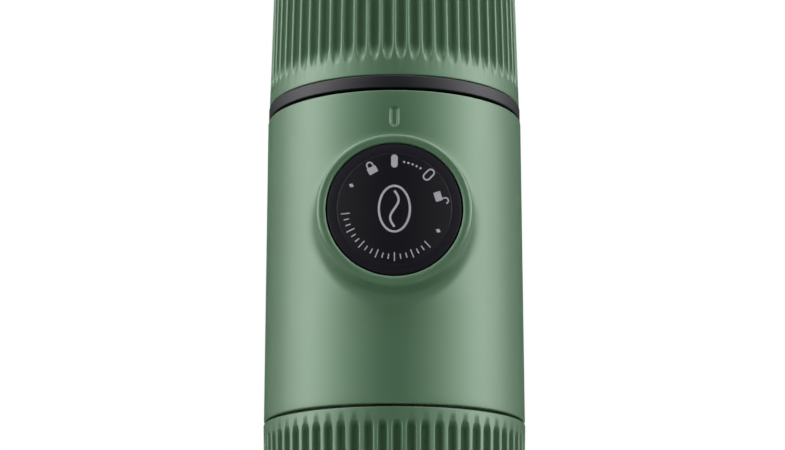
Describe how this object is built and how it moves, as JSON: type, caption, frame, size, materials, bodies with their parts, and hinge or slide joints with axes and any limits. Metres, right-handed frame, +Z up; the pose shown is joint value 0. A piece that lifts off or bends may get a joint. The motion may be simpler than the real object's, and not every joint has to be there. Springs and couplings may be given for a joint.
{
  "type": "handheld espresso maker",
  "caption": "Handheld manual espresso maker with a ribbed cup, a screw-on brew head, a round pump knob that turns and slides, and a ribbed screw-on water tank.",
  "frame": {"origin": "centre of the water tank's flat base, on the body's axis", "axes": "+Z up the body's axis towards the cup, -Y towards the pump knob, +X to the right seen from the knob's side"},
  "size_m": [0.0622, 0.071, 0.156],
  "materials": {
    "cup": "satin sage green moulded plastic",
    "cup_grip_ring": "soft black silicone",
    "portafilter": "satin black moulded plastic",
    "nozzle": "black moulded plastic",
    "filter_basket": "brushed stainless steel",
    "coffee_scoop": "matte black plastic",
    "brew_gasket": "soft dark silicone",
    "shower_screen": "perforated stainless steel",
    "shower_screw": "stainless steel",
    "body_shell": "satin sage green moulded plastic",
    "brew_socket": "matte black plastic",
    "base_plate": "matte black plastic",
    "socket_screws": "stainless steel",
    "base_screws": "stainless steel",
    "knob_shell": "glossy black plastic",
    "knob_face": "polished black plastic",
    "knob_marks": "pale grey print",
    "knob_screw": "stainless steel",
    "piston_rod": "polished stainless steel",
    "piston_head": "dark plastic",
    "piston_seal": "black silicone",
    "spring_washer": "stainless steel",
    "return_spring": "stainless spring wire",
    "pump_cylinder": "grey plastic",
    "rod_bush": "white bearing plastic",
    "pump_screws": "stainless steel",
    "valve_block": "dark plastic",
    "block_screws": "stainless steel",
    "cylinder_seal": "black silicone",
    "outlet_seal": "black silicone",
    "inlet_seat": "white plastic",
    "inlet_ball": "steel ball",
    "inlet_spring": "stainless spring wire",
    "outlet_seat": "white plastic",
    "outlet_ball": "steel ball",
    "outlet_spring": "stainless spring wire",
    "inlet_tube": "white plastic",
    "inlet_strainer": "dark plastic",
    "air_valve": "grey silicone",
    "water_tank": "satin sage green moulded plastic",
    "tank_seal": "black silicone"
  },
  "bodies": {
    "body": {"body_shell": "body_shell", "brew_socket": "brew_socket", "base_plate": "base_plate", "socket_screws": "socket_screws", "base_screws": "base_screws", "shower_screen": "shower_screen", "shower_screw": "shower_screw", "pump_cylinder": "pump_cylinder", "rod_bush": "rod_bush", "pump_screws": "pump_screws", "valve_block": "valve_block", "block_screws": "block_screws", "cylinder_seal": "cylinder_seal", "outlet_seal": "outlet_seal", "inlet_seat": "inlet_seat", "inlet_spring": "inlet_spring", "outlet_seat": "outlet_seat", "outlet_spring": "outlet_spring", "inlet_tube": "inlet_tube", "inlet_strainer": "inlet_strainer", "air_valve": "air_valve", "return_spring": "return_spring"},
    "piston": {"piston_rod": "piston_rod", "piston_head": "piston_head", "piston_seal": "piston_seal", "knob_screw": "knob_screw", "spring_washer": "spring_washer"},
    "knob": {"knob_shell": "knob_shell", "knob_face": "knob_face", "knob_marks": "knob_marks"},
    "inlet_ball": {"inlet_ball": "inlet_ball"},
    "outlet_ball": {"outlet_ball": "outlet_ball"},
    "tank_seal": {"tank_seal": "tank_seal"},
    "tank": {"water_tank": "water_tank"},
    "brew_gasket": {"brew_gasket": "brew_gasket"},
    "brew_head": {"portafilter": "portafilter", "nozzle": "nozzle", "cup_grip_ring": "cup_grip_ring"},
    "basket": {"filter_basket": "filter_basket"},
    "cup": {"cup": "cup"},
    "scoop": {"coffee_scoop": "coffee_scoop"}
  },
  "joints": [
    {"name": "piston_slide", "type": "slide", "parent": "body", "child": "piston", "axis": [0, -1, 0], "range_m": [0, 0.02], "stiffness_N_per_m": 150, "springref_m": 0.03, "deforming": ["return_spring"]},
    {"name": "knob_turn", "type": "hinge", "parent": "piston", "child": "knob", "pos_m": [0, -0.0397, 0.0742], "axis": [0, -1, 0], "range_deg": [0, 45]},
    {"name": "inlet_ball_lift", "type": "slide", "parent": "body", "child": "inlet_ball", "axis": [0, 0, 1], "range_m": [0, 0.0012], "stiffness_N_per_m": 20, "springref_m": -0.002, "deforming": ["inlet_spring"]},
    {"name": "outlet_ball_lift", "type": "slide", "parent": "body", "child": "outlet_ball", "axis": [0, 0, 1], "range_m": [0, 0.0012], "stiffness_N_per_m": 20, "springref_m": -0.002, "deforming": ["outlet_spring"]},
    {"name": "tank_turn", "type": "hinge", "parent": "body", "child": "tank_seal", "pos_m": [0, 0, 0.0292], "axis": [0, 0, -1], "range_deg": [0, 720]},
    {"name": "tank_drop", "type": "slide", "parent": "tank_seal", "child": "tank", "axis": [0, 0, -1], "range_m": [0, 0.01602]},
    {"name": "brew_head_turn", "type": "hinge", "parent": "body", "child": "brew_gasket", "pos_m": [0, 0, 0.0972], "axis": [0, 0, 1], "range_deg": [0, 1080]},
    {"name": "brew_head_rise", "type": "slide", "parent": "brew_gasket", "child": "brew_head", "axis": [0, 0, 1], "range_m": [0, 0.03602]},
    {"name": "basket_lift", "type": "slide", "parent": "body", "child": "basket", "axis": [0, 0, 1], "range_m": [0, 0.0142]},
    {"name": "cup_lift", "type": "slide", "parent": "brew_head", "child": "cup", "axis": [0, 0, 1], "range_m": [0, 0.06]},
    {"name": "scoop_lift", "type": "slide", "parent": "brew_head", "child": "scoop", "axis": [0, 0, 1], "range_m": [0, 0.0245]}
  ],
  "couplings": [
    {"joint": "tank_drop", "follows": "tank_turn", "m_per_rad": 0.0012732},
    {"joint": "brew_head_rise", "follows": "brew_head_turn", "m_per_rad": 0.0019099},
    {"joint": "basket_lift", "follows": "brew_head_turn", "m_per_rad": 0.00074272},
    {"joint": "scoop_lift", "follows": "cup_lift", "ratio": 0.4}
  ]
}
